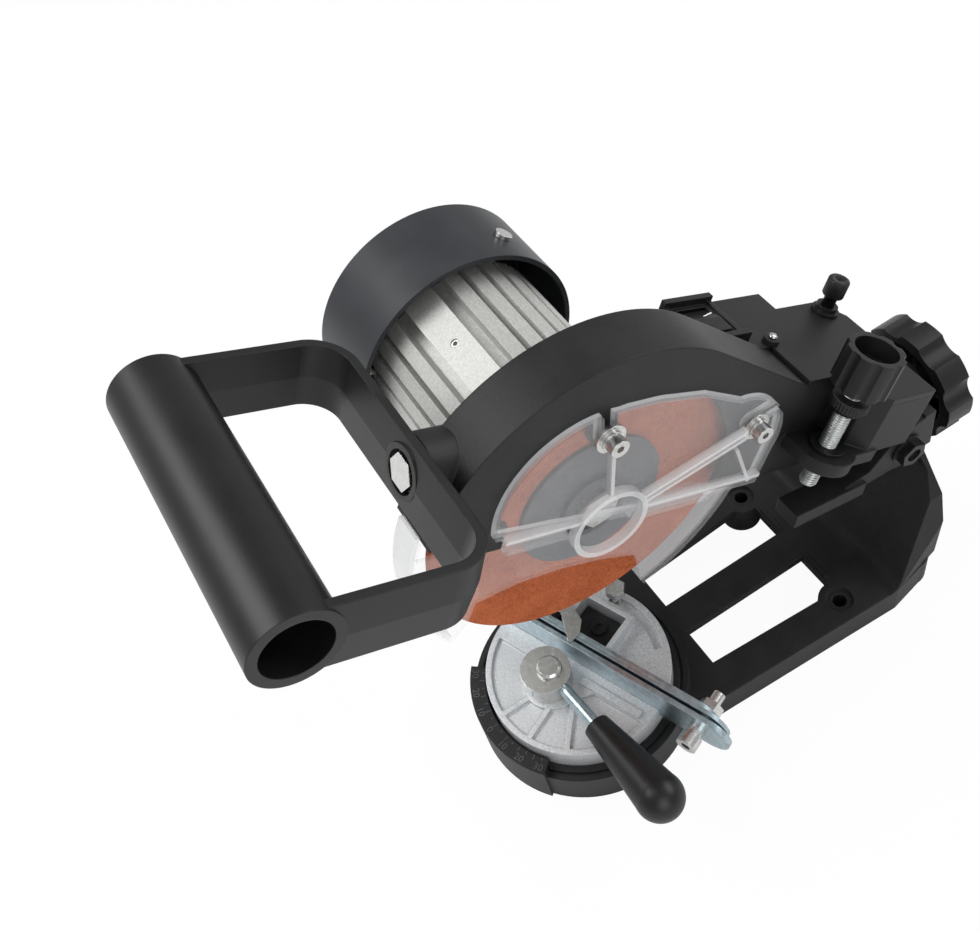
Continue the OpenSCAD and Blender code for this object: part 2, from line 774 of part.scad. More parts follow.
// Hollow cup-shaped knob with eight flutes
module depth_knob() {
    flutes = 8;
    color(black) head_frame() translate([rod_x, -rod_y, knob_low]) difference() {
        cylinder(r = depth_knob_r, h = depth_knob_h);
        translate([0, 0, depth_knob_h - 9]) cylinder(r = depth_knob_r - 3, h = 9 + eps);
        for (i = [0 : flutes - 1]) rotate([0, 0, i * 360 / flutes])
            translate([depth_knob_r + 2.2, 0, -eps]) cylinder(r = 3.4, h = depth_knob_h + 2 * eps);
        translate([0, 0, -eps]) cylinder(r = rod_r + run, h = rod_top - knob_low + eps + run);
    }
}

module lock_nut() {
    color(dark) head_frame() translate([rod_x, -rod_y, 31]) difference() {
        union() {
            cylinder(r = 6.5, h = 7);
            translate([0, 0, 2]) cylinder(r = 8.5, h = 5);
        }
        translate([0, 0, -eps]) cylinder(r = rod_r + run, h = 7 + 2 * eps);
    }
}

// ---- Motor and spindle, drawn along the spindle: z is the head's x ----

// Cross-section of the finned motor housing, with one wide flat land on top
module fin_plan() {
    land_w = 15;
    land_gap = 6;
    fin_w = 6.8;
    first = asin((land_w / 2 + land_gap + fin_w / 2) / motor_r);
    pitch = (360 - 2 * first) / (fin_count - 1);
    difference() {
        union() {
            circle(r = motor_core_r, $fn = 96);
            for (i = [0 : fin_count - 1]) rotate(180 + first + i * pitch)
                translate([0, -fin_w / 2]) square([motor_r, fin_w]);
            rotate(180) translate([0, -land_w / 2]) square([motor_r, land_w]);
        }
        circle(r = stator_r + 1, $fn = 96);
    }
}

module motor_housing() {
    color(alloy) spindle_frame() difference() {
        translate([0, 0, motor_end]) linear_extrude(motor_len) rotate(land_turn) fin_plan();
        rotate([0, 0, land_turn + 180]) translate([motor_r - 9, 0, motor_x - 55]) rotate([0, 90, 0])
            cylinder(r = 2, h = 12);
    }
}

// Turn of the cover's screws round the spindle
fan_screw_turn = 46;
// Turn of the land round the spindle, so that it faces up and forward
land_turn = 44;

module stator() {
    color(steel) spindle_frame() translate([0, 0, motor_end + 16]) difference() {
        cylinder(r = stator_r + 1 - run, h = 62);
        translate([0, 0, -eps]) cylinder(r = rotor_r + 0.5, h = 62 + 2 * eps);
    }
}

module rotor() {
    color(dark) spindle_frame() translate([0, 0, motor_end + 18]) ring(rotor_r, spindle_r, 58);
}

module spindle() {
    color(steel) spindle_frame() {
        translate([0, 0, motor_end - 22]) cylinder(r = spindle_r, h = motor_len + shroud_back + 22 - 4);
        translate([0, 0, -4 - 0.01]) cylinder(r = 5, h = 13.8);
    }
}

module front_bearing() {
    color(steel) spindle_frame() translate([0, 0, -shroud_back]) ring(16, spindle_r + run, 6);
}

module rear_bearing() {
    color(steel) spindle_frame() translate([0, 0, motor_end + 2]) ring(13, spindle_r + run, 6);
}

// Disc that closes the motor's rear and carries the rear bearing
module end_cap() {
    color(dark) spindle_frame() translate([0, 0, motor_end]) {
        difference() {
            union() {
                cylinder(r = stator_r + 1, h = 8);
                translate([0, 0, -5]) cylinder(r = motor_r - 1, h = 5);
            }
            translate([0, 0, 2]) cylinder(r = 13, h = 7);
                translate([0, 0, -6]) cylinder(r = spindle_r + 1, h = 12);
        }
    }
}

module cooling_fan() {
    blades = 9;
    color(dark) spindle_frame() translate([0, 0, motor_end - 19.5]) {
        ring(11, spindle_r, 12);
        for (i = [0 : blades - 1]) rotate([0, 0, i * 360 / blades])
            translate([10, -1, 0]) cube([30, 2, 11]);
        translate([0, 0, 11]) ring(41, 10.5, 1.5);
    }
}

// Cup over the fan with a ring of slots in its end
module fan_cover() {
    slots = 12;
    color(dark) spindle_frame() difference() {
        translate([0, 0, fan_end]) union() {
            translate([0, 0, 4]) cylinder(r = fan_cover_r, h = fan_cover_len - 4, $fn = 96);
            cylinder(r1 = fan_cover_r - 4, r2 = fan_cover_r, h = 4.01, $fn = 96);
        }
        translate([0, 0, fan_end + fan_cover_t]) cylinder(r = fan_cover_r - fan_cover_t - 2, h = 4);
        translate([0, 0, fan_end + 4]) cylinder(r = fan_cover_r - fan_cover_t, h = fan_cover_len, $fn = 96);
        for (i = [0 : slots - 1]) rotate([0, 0, i * 360 / slots])
            translate([16, -2.2, fan_end - eps]) cube([22, 4.4, 6]);
        for (i = [0 : 2]) rotate([0, 0, fan_screw_turn + i * 120])
            translate([0, 0, motor_end - 2.5]) rotate([0, 90, 0]) cylinder(r = 2.2, h = 60);
    }
}

// Four screws through the cover's side into the end cap
module fan_cover_screws() {
    color(steel) spindle_frame() for (i = [0 : 2]) rotate([0, 0, fan_screw_turn + i * 120])
        translate([0, 0, motor_end - 2.5]) rotate([0, 90, 0]) {
            translate([0, 0, motor_r - 1]) cylinder(r = 2.2, h = fan_cover_r - motor_r + 1.01);
            translate([0, 0, fan_cover_r]) cylinder(r = 4, h = 2);
        }
}

module set_screw() {
    color(steel) spindle_frame() rotate([0, 0, land_turn + 180])
        translate([motor_r - 6, 0, motor_x - 55]) rotate([0, 90, 0]) difference() {
            cylinder(r = 2, h = 5.5);
            translate([0, 0, 3]) cylinder(r = 1.1, h = 3, $fn = 6);
        }
}

// Gland for the mains lead, on the back of the housing's front end
module cord_gland() {
    color(black) spindle_frame() translate([-1, -69, -shroud_back]) rotate([0, 180, 0]) difference() {
        union() {
            cylinder(r = 7, h = 5);
            translate([0, 0, 4.99]) cylinder(r1 = 6.5, r2 = 5, h = 8);
        }
        translate([0, 0, 6]) cylinder(r = 3.4, h = 16);
    }
}

// ---- Wheel ----

module inner_flange() {
    color(steel) spindle_frame() translate([0, 0, -wheel_t / 2 - 2.4]) {
        ring(flange_r, 5, 2.4);
        translate([0, 0, 2.39]) ring(wheel_bore / 2 - run, 5, wheel_t - 0.4);
    }
}

module grinding_wheel() {
    color([0.62, 0.30, 0.15]) spindle_frame() translate([0, 0, -wheel_t / 2])
        difference() {
            cylinder(r = wheel_r, h = wheel_t, $fn = 128);
            translate([0, 0, -eps]) cylinder(d = wheel_bore, h = wheel_t + 2 * eps);
        }
}

module outer_flange() {
    color(steel) spindle_frame() translate([0, 0, wheel_t / 2]) {
        ring(flange_r, 5, 2);
        translate([0, 0, 1.99]) ring(14, 5, 2);
    }
}

module flange_nut() {
    color(steel) spindle_frame() translate([0, 0, wheel_t / 2 + 4]) difference() {
        hex(16, 4.2);
        translate([0, 0, -eps]) cylinder(r = 5, h = 8);
    }
}

// ---- Clear guards ----

// Front view of the upper cover: an arc over the wheel that runs out to a
// rounded shoulder at the right, and a straight edge along the bottom. The
// slots let it slip off over the screws
module upper_plan(inset) {
    difference() {
        intersection() {
            union() {
                translate([-12, 14]) circle(r = 42.5 - inset, $fn = 96);
                polygon([[-24, -10], [-24, 54.2 - inset], [-8, 57.2 - inset], [8, 57.7 - inset],
                    [31, 55.4 - inset], [51, 48.5 - inset], [60, 45.4 - inset],
                    [cover_end - 0.4 - inset, 20], [cover_end - 0.4 - inset, -10]]);
                translate([cover_end - 26, 22]) circle(r = 26 - inset, $fn = 96);
            }
            polygon([[-60, 4.3 + inset], [24, cover_low + inset], [100, cover_low + inset],
                [100, 80], [-60, 80]]);
        }
        for (p = guard_points()) rotate(atan2(p[1], p[0])) translate([norm(p), -2.6 - inset])
            square([40, 5.2 + 2 * inset]);
        for (p = guard_points()) translate(p) circle(r = 2.8 + inset);
    }
}

module upper_cover() {
    color(clear) wheel_frame() difference() {
        union() {
            slab(cover_x - clear_t, cover_x) upper_plan(0);
            difference() {
                slab(shroud_front + 0.1, cover_x - 0.5) upper_plan(0);
                slab(shroud_front - eps, cover_x) upper_plan(2.2);
            }
            slab(cover_x, cover_x + 4) ring_plan(17.5, 15);
            slab(cover_x - 0.5, cover_x + 3.4) intersection() {
                rib_plan();
                upper_plan(2);
            }
            slab(cover_x - 0.5, cover_x + 3.4) difference() {
                translate([-51, 4.2]) square([130, 1.8]);
                circle(r = 16);
            }
        }
        for (p = guard_points()) translate([cover_x, p[0], p[1]]) rotate([0, 90, 0])
            cylinder(r = 7, h = 40);
    }
}

module ring_plan(outer, inner) {
    difference() {
        circle(r = outer);
        circle(r = inner);
    }
}

// Ribs that run from the hub ring to the screws
module rib_plan() {
    difference() {
        union() {
            for (p = guard_points()) {
                a = atan2(p[1], p[0]);
                rotate(a) translate([16, -0.8]) square([norm(p) - 18, 1.6]);
            }
            a = atan2(guard_points()[1][1], guard_points()[1][0]);
            rotate(a) translate([16, 2.6]) square([norm(guard_points()[1]) - 18, 1.6]);
            translate([56, 24]) rotate(-52) square([27, 1.6]);
        }
        circle(r = 16);
    }
}

// Lower guard: two bands round the wheel's edge, joined by a front wall below
// the upper cover, open under the wheel
module lower_guard() {
    face_x = guard_x - clear_t;
    color(clear) wheel_frame() difference() {
        union() {
            difference() {
                slab(-9, guard_x) circle(r = guard_r, $fn = 128);
                slab(-10, face_x) circle(r = guard_r - clear_t, $fn = 128);
                slab(-20, 30) polygon([[100, -4.6], [-60, -4.6], [-60, shroud_low + 2.3],
                    [-100, shroud_low + 2.3], [-100, 120], [100, 120]]);
                slab(face_x - eps, 30) translate([-guard_r + clear_t, -6.3])
                    square([2 * (guard_r - clear_t), 20]);
            }
            slab(face_x, cover_x) translate([-46, -6.4]) square([104, cover_low - 0.3 + 6.4]);
        }
        slab(-20, 30) polygon([[-76, -110], [-47, -54], [-46, -41.5], [-26, -36.5], [-6, -35.3],
            [16, -36.9], [37, -41], [51, -64.5], [80, -110]]);
        slab(-20, 30) circle(r = 17);
    }
}

// Pie slice from the centre between two angles
module pie(r, a0, a1) {
    mid = (a0 + a1) / 2;
    polygon([[0, 0], [r * cos(a0), r * sin(a0)], [1.4 * r * cos(mid), 1.4 * r * sin(mid)],
        [r * cos(a1), r * sin(a1)]]);
}

module guard_screws() {
    color(steel) wheel_frame() for (p = guard_points())
        translate([cover_x + 2.8, p[0], p[1]]) rotate([0, 90, 0]) socket_screw(2.5, 4, 4.2, 12, 1.7);
}

// Flat washer with a spring washer on it, under each screw's head
module guard_washers() {
    color(steel) wheel_frame() for (p = guard_points())
        translate([cover_x, p[0], p[1]]) rotate([0, 90, 0]) {
            ring(6.5, 2.5, 1.2);
            translate([0, 0, 1.19]) ring(4.6, 2.5, 1.61);
        }
}

// ---- Handle ----

// Cross-section of the band: thickest at mid-height, drafted to both edges.
// Its outer side lies along the y axis, facing +x
module band_plan() {
    d = 0.9;
    polygon([[-d, band_h / 2], [0, 0], [-d, -band_h / 2], [-band_t + d, -band_h / 2],
        [-band_t, 0], [-band_t + d, band_h / 2]]);
}

module handle() {
    half = handle_w / 2;
    side = grip_reach - corner_r;
    color(black) head_frame() translate([handle_x, -handle_reach, handle_z]) difference() {
        union() {
            rotate([90, 0, 90]) translate([0, 0, -half + corner_r])
                linear_extrude(handle_w - 2 * corner_r) band_plan();
            for (s = [0, 1]) mirror([s, 0, 0]) {
                translate([half - corner_r, -corner_r, 0]) rotate_extrude(angle = 90)
                    translate([corner_r, 0]) band_plan();
                translate([half, -corner_r, 0]) rotate([90, 0, 0])
                    linear_extrude(side) band_plan();
            }
            translate([-half, -grip_reach, 0]) rotate([0, 90, 0]) cylinder(r = grip_r, h = handle_w);
            translate([2, -band_t, 0]) rotate([-90, 0, 0]) cylinder(r = 11, h = band_t);
        }
        translate([-half - eps, -grip_reach, 0]) rotate([0, 90, 0])
            cylinder(r = grip_bore_r, h = handle_w + 2 * eps);
        translate([2, -band_t - eps, 0]) rotate([-90, 0, 0]) cylinder(r = 4.2, h = band_t + 2 * eps);
        translate([2, -band_t - eps, 0]) rotate([-90, 0, 0]) cylinder(r = 8.6, h = bolt_sink + eps);
    }
}

module handle_bolt() {
    color(steel) head_frame() translate([handle_x + 2, -handle_reach - band_t + bolt_sink - 1.2, handle_z])
        rotate([-90, 0, 0]) {
            translate([0, 0, -3]) hex(13, 3);
            cylinder(r = 4, h = 16);
        }
}

module handle_washer() {
    color(steel) head_frame() translate([handle_x + 2, -handle_reach - band_t + bolt_sink - 1.2, handle_z])
        rotate([-90, 0, 0]) ring(8.2, 4, 1.2);
}

// ---- Vise ----

module turntable() {
    rib_angles = [-112, -88, -62];
    color(alloy) vise_frame() difference() {
        union() {
            translate([0, 0, table_z]) cylinder(r = table_r, h = table_top - table_z, $fn = 96);
            translate([0, 0, spigot_z]) cylinder(r = spigot_r, h = seat_z - spigot_z + 1);
            translate([-17.5, back_v + 2.6, table_top - eps]) cube([29, 23, 8 + eps]);
            translate([6, rail_v - 9, table_top - eps]) cube([34, 4, 1.8 + eps]);
        }
        difference() {
            translate([0, 0, table_top - 2]) ring(table_r - 3, 0.01 + 17, 3);
            translate([-60, -8, 0]) cube([120, 70, 60]);
            for (a = rib_angles) rotate([0, 0, a]) translate([0, -1.3, 0]) cube([60, 2.6, 60]);
            translate([collar_u, collar_v, 0]) cylinder(r = collar_r + 3, h = 60);
        }
        translate([-rail_tail - 20, rail_v, rail_low]) cube([140, back_v + rear_t - rail_v, 40]);
        translate([-15, back_v + 5.1, table_top - 5]) cube([24, 18, 40]);
        translate([collar_u, collar_v, seat_z + 3]) cylinder(r = clamp_pin_r, h = 20);
        translate([0, 0, spigot_z - eps]) cylinder(r = 4, h = 14);
        difference() {
            translate([0, 0, table_top - 2.5]) ring(42, 38, 5);
            rotate([0, 0, 45]) translate([-60, -120, 0]) cube([120, 120, 60]);
            rotate([0, 0, 100]) translate([-60, 0, 0]) cube([120, 120, 60]);
        }
        translate([-4, 41, seat_z + 3]) cylinder(r = 3, h = 30);
        translate([-3, back_v + 15.5, table_top - 11.5]) cylinder(r = 2.5, h = 30);
    }
}

// Bolt up the middle of the spigot that holds the turntable down
module pivot_bolt() {
    color(steel) vise_frame() {
        translate([0, 0, spigot_z - washer_t - 3.4]) hex(13, 3.4);
        translate([0, 0, spigot_z - washer_t - 0.01]) cylinder(r = 4, h = 13);
    }
}

module pivot_washer() {
    color(steel) vise_frame() translate([0, 0, spigot_z - washer_t])
        ring(spigot_r + 4.5, 4, washer_t);
}

// Side view of a rail, u to the right, with a round free end
module rail_plan(len) {
    r = rail_h / 2;
    translate([-rail_tail, rail_low]) square([len - r, rail_h]);
    translate([-rail_tail + len - r, rail_low + r]) circle(r = r);
}

// A rail across v0..v0+t
module rail(v0, t, len) {
    vise_frame() translate([0, v0 + t, 0]) rotate([90, 0, 0]) linear_extrude(t) difference() {
        rail_plan(len);
        translate([rail_bolt_u, rail_bolt_z]) circle(r = 3);
    }
}

rail_bolt_u = rail_len - rail_tail - 16;
rail_bolt_z = 43;

module front_rail() {
    color(zinc) rail(rail_v, rail_t, rail_len);
}

module rear_rail() {
    color(zinc) rail(rear_v, rear_t, rail_len - 3);
}

module backing_rail() {
    color(zinc) rail(back_v, rear_t, rail_len - 9);
}

module rail_bolt() {
    color(steel) vise_frame() translate([rail_bolt_u, rail_v - 5, rail_bolt_z]) rotate([90, 0, 0])
        socket_screw(3, 5, 6, 24, 2.5);
}

// Spacer under the bolt's head and nut behind the rails
module rail_nut() {
    color(steel) vise_frame() {
        translate([rail_bolt_u, rail_v, rail_bolt_z]) rotate([90, 0, 0]) ring(4.2, 3, 5);
        translate([rail_bolt_u, back_v + rear_t, rail_bolt_z]) rotate([-90, 0, 0]) difference() {
            hex(10, 5);
            translate([0, 0, -eps]) cylinder(r = 3, h = 8);
        }
    }
}

carrier_u = -24;
carrier_top = rail_top + 3;

// Block that carries the chain stop's pin, at the rear of the rails
module pawl_carrier() {
    v0 = back_v + rear_t;
    color(black) vise_frame() difference() {
        translate([carrier_u - 5, v0, table_top]) cube([10, 11, carrier_top - table_top]);
        translate([carrier_u, v0 - eps, rail_top]) rotate([-90, 0, 0]) cylinder(r = 2, h = 20);
        translate([carrier_u - 6, v0 + 3, rail_top - 4]) cube([12, 5, 10]);
    }
}

module pawl_pin() {
    v0 = back_v + rear_t;
    color(steel) vise_frame() translate([carrier_u, v0 + 0.2, rail_top]) rotate([-90, 0, 0]) {
        cylinder(r = 2, h = 10.8);
        translate([0, 0, 10.8]) cylinder(r = 3, h = 0.8);
    }
}

// Sheet tongue that swings on the pin and drops behind a cutter
module chain_pawl() {
    v0 = back_v + rear_t + 3 + gap;
    t = 1.2;
    color(steel) vise_frame() difference() {
        union() {
            translate([0, 0, rail_top + 0.3]) linear_extrude(t) polygon([[carrier_u, v0],
                [carrier_u, v0 + 4.4], [carrier_u + 6, v0 + 4.4], [-14, v0 + 6], [-5, v0 + 2], [-2, 9], [-2.5, 3], [-4, 2],
                [-9, rear_v + 1], [-16, v0]]);
            translate([carrier_u, v0, rail_top]) rotate([-90, 0, 0]) cylinder(r = 3.4, h = 4.4);
        }
        translate([carrier_u, v0 - eps, rail_top]) rotate([-90, 0, 0])
            cylinder(r = 2 + run, h = 6.4);
    }
}

module pocket_screw() {
    color(black) vise_frame() translate([-3, back_v + 15.5, table_top - 5])
        socket_screw(2.5, 4.4, 4.5, 6, 2);
}

module adjusting_bolt() {
    color(steel) vise_frame() translate([-4, 41, table_top]) {
        translate([0, 0, -8]) cylinder(r = 3, h = 14);
        translate([0, 0, 6]) hex(9, 5);
    }
}

// Pin that the eccentric collar turns on
module clamp_pin() {
    color(steel) vise_frame() translate([collar_u, collar_v, 0]) {
        translate([0, 0, seat_z + 3]) cylinder(r = clamp_pin_r, h = collar_z + collar_h + 2 - seat_z - 3);
        translate([0, 0, collar_z + collar_h + 2]) cylinder(r1 = clamp_pin_r, r2 = clamp_pin_r - 1, h = 1);
    }
}

// Eccentric collar: its bore sits off the middle
module clamp_collar() {
    color(steel) vise_frame() difference() {
        translate([collar_u, collar_v - 0.1, collar_z]) translate([-pin_ecc * 0.5, -pin_ecc * 0.4, 0])
            cylinder(r = collar_r, h = collar_h);
        translate([collar_u, collar_v, collar_z - eps])
            cylinder(r = clamp_pin_r + run, h = collar_h + 2 * eps);
        lever_line() translate([0, 0, collar_r - 5]) cylinder(r = 3, h = 30);
    }
}

// Places a shape along the lever, z running out from the collar's axis
module lever_line() {
    translate([collar_u, collar_v, lever_z]) rotate([0, 0, lever_angle])
        rotate([0, 90 - lever_rise, 0]) children();
}

module lever_rod() {
    color(zinc) vise_frame() lever_line() translate([0, 0, collar_r - 5])
        cylinder(r = 3, h = 34);
}

// Black knob, tapered from its neck to a ball end
module lever_knob() {
    neck = 36;
    neck_r = 6.5;
    color(black) vise_frame() lever_line() difference() {
        union() {
            translate([0, 0, neck]) cylinder(r1 = neck_r, r2 = ball_r * 0.97, h = lever_len - neck - 2.8);
            translate([0, 0, lever_len]) sphere(r = ball_r);
        }
        translate([0, 0, neck - eps]) cylinder(r = 3, h = collar_r - 5 + 34 - neck + eps);
    }
}

base_plate();
tilt_bracket();
hinge_bolt();
hinge_nut();
tilt_stud();
tilt_washer();
tilt_knob();
head_casting();
arm_cover();
cover_screw();
switch_bezel();
switch_rocker();
stop_screw();
stop_washers();
ear_bush();
depth_rod();
depth_knob();
lock_nut();
motor_housing();
stator();
rotor();
spindle();
front_bearing();
rear_bearing();
cooling_fan();
end_cap();
fan_cover();
fan_cover_screws();
set_screw();
cord_gland();
inner_flange();
grinding_wheel();
outer_flange();
flange_nut();
upper_cover();
lower_guard();
guard_screws();
guard_washers();
handle();
handle_bolt();
handle_washer();
turntable();
pivot_bolt();
pivot_washer();
front_rail();
rear_rail();
backing_rail();
rail_bolt();
rail_nut();
pawl_carrier();
pawl_pin();
chain_pawl();
pocket_screw();
adjusting_bolt();
clamp_pin();
clamp_collar();
lever_rod();
lever_knob();
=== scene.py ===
"""Electric chainsaw sharpener: finishes, threads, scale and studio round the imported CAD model."""

import math

import bpy
import numpy as np
from mathutils import Matrix, Vector


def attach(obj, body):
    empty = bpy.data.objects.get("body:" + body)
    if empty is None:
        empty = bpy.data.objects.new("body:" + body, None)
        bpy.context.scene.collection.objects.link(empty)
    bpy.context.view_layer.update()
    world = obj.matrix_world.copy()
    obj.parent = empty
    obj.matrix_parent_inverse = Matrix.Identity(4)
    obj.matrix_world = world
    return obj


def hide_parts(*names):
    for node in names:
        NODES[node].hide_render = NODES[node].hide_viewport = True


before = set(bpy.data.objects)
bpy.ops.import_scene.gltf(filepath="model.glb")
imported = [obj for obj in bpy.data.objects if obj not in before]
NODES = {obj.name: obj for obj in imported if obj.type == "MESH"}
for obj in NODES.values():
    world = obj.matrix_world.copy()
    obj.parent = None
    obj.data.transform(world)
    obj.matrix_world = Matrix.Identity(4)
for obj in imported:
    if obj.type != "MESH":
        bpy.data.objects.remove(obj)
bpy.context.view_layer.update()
MM = 0.001

# Sizes shared with the CAD model, in millimetres and degrees
HINGE_Y, HINGE_Z, HEAD_UP = 42.5, 97.0, 27.0
ROD_X, ROD_Y, ROD_R, ROD_END, ROD_TOP = 22.5, 55.0, 4.0, -10.0, 55.0
ROD_PITCH, THREAD_DEPTH = 1.25, 0.75
LOCK_NUT_Z = 31
ARM_TOP, COVER_T = 36.4, 2.5
STOP_X, STOP_Y, STOP_RISE = -30.6, -20.5, 9
COVER_SCREW_X, COVER_SCREW_Y, COVER_SCREW_RISE = -17.5, -67.0, 2.6
VISE_Y, VISE_TURN = -129.0, 22.0
RING_TOP = 28.5

# Places measured on the photograph, in millimetres and degrees; a figure stands at its value
# times FIGURE_SPREAD
# The first place is the box of a black block, painted shade in the vise's pocket
POCKET_SHADE_BLOCK = ((-14.6, 8.6), (13.1, 30.3), (30.3, 33.6))
TICK_RADIUS, FIGURE_RADIUS, FIGURE_HEIGHT = 47.2, 51.9, 3.4
TICK_STEP, LONG_TICK, SHORT_TICK = 5, 2.4, 1.4
FIGURE_SPREAD = 1.15
LINE_AT, LINE_TURN = (-38.5, -87.3, 41.75), 15.6

# The camera's place in metres, and the rows of its turn: right, up and back
CAMERA_AT = (0.2427, -0.21375, 0.55223)
CAMERA_TURN = ((0.50615836, 0.84312597, -0.18150017),
               (-0.64210088, 0.50890057, 0.5733469),
               (0.5757692, -0.17366291, 0.79895621))
CAMERA_LENS = 42.89


# ---- Camera ----

def place_camera():
    """Camera at the photograph's place."""
    data = bpy.data.cameras.new("camera")
    data.sensor_fit = "HORIZONTAL"
    data.sensor_width = 36.0
    data.lens = CAMERA_LENS
    data.clip_start = 0.01
    data.clip_end = 20.0
    cam = bpy.data.objects.new("camera", data)
    bpy.context.scene.collection.objects.link(cam)
    turn = Matrix(CAMERA_TURN).transposed().to_4x4()
    cam.matrix_world = Matrix.Translation(Vector(CAMERA_AT)) @ turn
    bpy.context.scene.camera = cam


place_camera()


# ---- Shader maths ----

class Wire:
    """An output socket; the operators add Math nodes to its tree."""

    def __init__(self, tree, socket):
        self.tree, self.socket = tree, socket

    def _math(self, operation, a, b):
        n = self.tree.nodes.new("ShaderNodeMath")
        n.operation = operation
        for i, v in enumerate((a, b)):
            if isinstance(v, Wire):
                self.tree.links.new(v.socket, n.inputs[i])
            else:
                n.inputs[i].default_value = v
        return Wire(self.tree, n.outputs[0])

    def __add__(self, o):
        return self._math("ADD", self, o)

    def __sub__(self, o):
        return self._math("SUBTRACT", self, o)

    def __mul__(self, o):
        return self._math("MULTIPLY", self, o)

    def most(self, o):
        return self._math("MAXIMUM", self, o)

    def off(self, middle, reach):
        """1 where the value is further than reach from middle, else 0."""
        distance = self._math("ABSOLUTE", self - middle, 0.0)
        return self._math("GREATER_THAN", distance, reach)


class Finish:
    """A material under construction; node() makes every node of it."""

    def __init__(self, name):
        self.mat = bpy.data.materials.new(name)
        self.mat.use_nodes = True
        self.tree = self.mat.node_tree
        self.tree.nodes.clear()

    def node(self, kind, settings, inputs, out=0):
        """A node with its settings and inputs: the Wire of one output, or itself if it has none."""
        n = self.tree.nodes.new(kind)
        for key, value in settings.items():
            if key == "stops":
                ramp = n.color_ramp.elements
                while len(ramp) < len(value):
                    ramp.new(0.5)
                for element, (at, shade) in zip(ramp, value):
                    element.position = at
                    element.color = (shade, shade, shade, 1)
            else:
                setattr(n, key, value)
        for key, value in inputs.items():
            if isinstance(value, Wire):
                self.tree.links.new(value.socket, n.inputs[key])
            else:
                n.inputs[key].default_value = value
        return Wire(self.tree, n.outputs[out]) if n.outputs else n

    def place(self):
        """Object coordinates, which are the model's own metres."""
        return self.node("ShaderNodeTexCoord", {}, {}, "Object")

    def stretched(self, where, scale):
        return self.node("ShaderNodeMapping", {}, {"Vector": where, "Scale": scale})

    def noise(self, where, scale, detail=2.0, rough=0.5):
        inputs = {"Vector": where, "Scale": scale, "Detail": detail, "Roughness": rough}
        return self.node("ShaderNodeTexNoise", {}, inputs, "Fac")

    def ramp(self, fac, stops):
        """Grey by fac; each stop has a place and a shade."""
        return self.node("ShaderNodeValToRGB", {"stops": stops}, {"Fac": fac})

    def blend(self, fac, a, b):
        """Colour a to colour b by fac."""
        return self.node("ShaderNodeMix", {"data_type": "RGBA"}, {0: fac, 6: a, 7: b}, 2)

    def bump(self, height, distance, under=None):
        """Normals of a relief that deep, laid over the normals under it."""
        values = {"Height": height, "Distance": distance, "Strength": 1.0}
        if under is not None:
            values["Normal"] = under
        return self.node("ShaderNodeBump", {}, values)

    def soft_edge(self, radius):
        """Normals that turn over every edge within a radius, as a cast or moulded edge does."""
        return self.node("ShaderNodeBevel", {"samples": 6}, {"Radius": radius})

    def principled(self, inputs):
        shader = self.node("ShaderNodeBsdfPrincipled", {}, inputs)
        self.node("ShaderNodeOutputMaterial", {}, {"Surface": shader})
        return self.mat


def linear(r, g, b):
    """Screen colour 0..255 to the linear colour that a shader takes."""
    def channel(v):
        v /= 255.0
        return v / 12.92 if v <= 0.04045 else ((v + 0.055) / 1.055) ** 2.4
    return (channel(r), channel(g), channel(b), 1.0)


# ---- Finishes ----

def coated(name, dark, light, rough, grain, depth, edge, specular=0.5):
    """Paint or moulded plastic: fine orange-peel grain, slow cloudiness, rubbed edges.
    grain is the peel's scale, depth its relief and edge the edges' radius, both in metres."""
    f = Finish(name)
    p = f.place()
    peel = f.noise(p, grain, 3.0, 0.6)
    cloud = f.noise(p, 55.0, 4.0, 0.55)
    speck = f.noise(p, grain * 2.7, 1.0)
    tone = f.ramp(cloud * 0.7 + speck * 0.3, ((0.35, 0.0), (0.68, 1.0)))
    return f.principled({
        "Base Color": f.blend(tone, dark, light),
        "Roughness": cloud * 0.12 + peel * 0.1 + (rough - 0.11),
        "Specular IOR Level": specular,
        "Normal": f.bump(peel, depth, f.soft_edge(edge)),
    })


def metal(name, dark, light, rough, scale, grain, depth, edge, metallic=1.0, streak=(1, 1, 1)):
    """Metal: two tones in a mottle or in streaks, with roughness and grain to match.
    scale is the mottle's and grain the fine relief's; depth and edge are metres, as in coated."""
    f = Finish(name)
    p = f.stretched(f.place(), streak)
    patch = f.noise(p, scale, 4.0, 0.6)
    fine = f.noise(p, grain, 3.0, 0.6)
    tone = f.ramp(patch * 0.6 + fine * 0.4, ((0.36, 0.0), (0.64, 1.0)))
    return f.principled({
        "Base Color": f.blend(tone, dark, light),
        "Metallic": metallic,
        "Roughness": patch * 0.16 + fine * 0.12 + (rough - 0.14),
        "Normal": f.bump(fine, depth, f.soft_edge(edge)),
    })


def abrasive(name):
    """Bonded grit: grains of three browns, pitted and dull."""
    f = Finish(name)
    p = f.place()
    cell = f.node("ShaderNodeTexVoronoi", {}, {"Vector": p, "Scale": 1500.0}, "Distance")
    grit = f.noise(p, 900.0, 4.0, 0.7)
    stain = f.noise(p, 40.0, 3.0)
    grains = f.ramp(grit, ((0.3, 0.0), (0.7, 1.0)))
    colour = f.blend(grains, linear(128, 58, 28), linear(186, 98, 56))
    patches = f.ramp(stain, ((0.45, 0.0), (0.75, 0.35)))
    colour = f.blend(patches, colour, linear(205, 120, 76))
    return f.principled({
        "Base Color": colour,
        "Roughness": grit * 0.2 + 0.72,
        "Specular IOR Level": 0.25,
        "Normal": f.bump(cell + grit, 0.00025),
    })


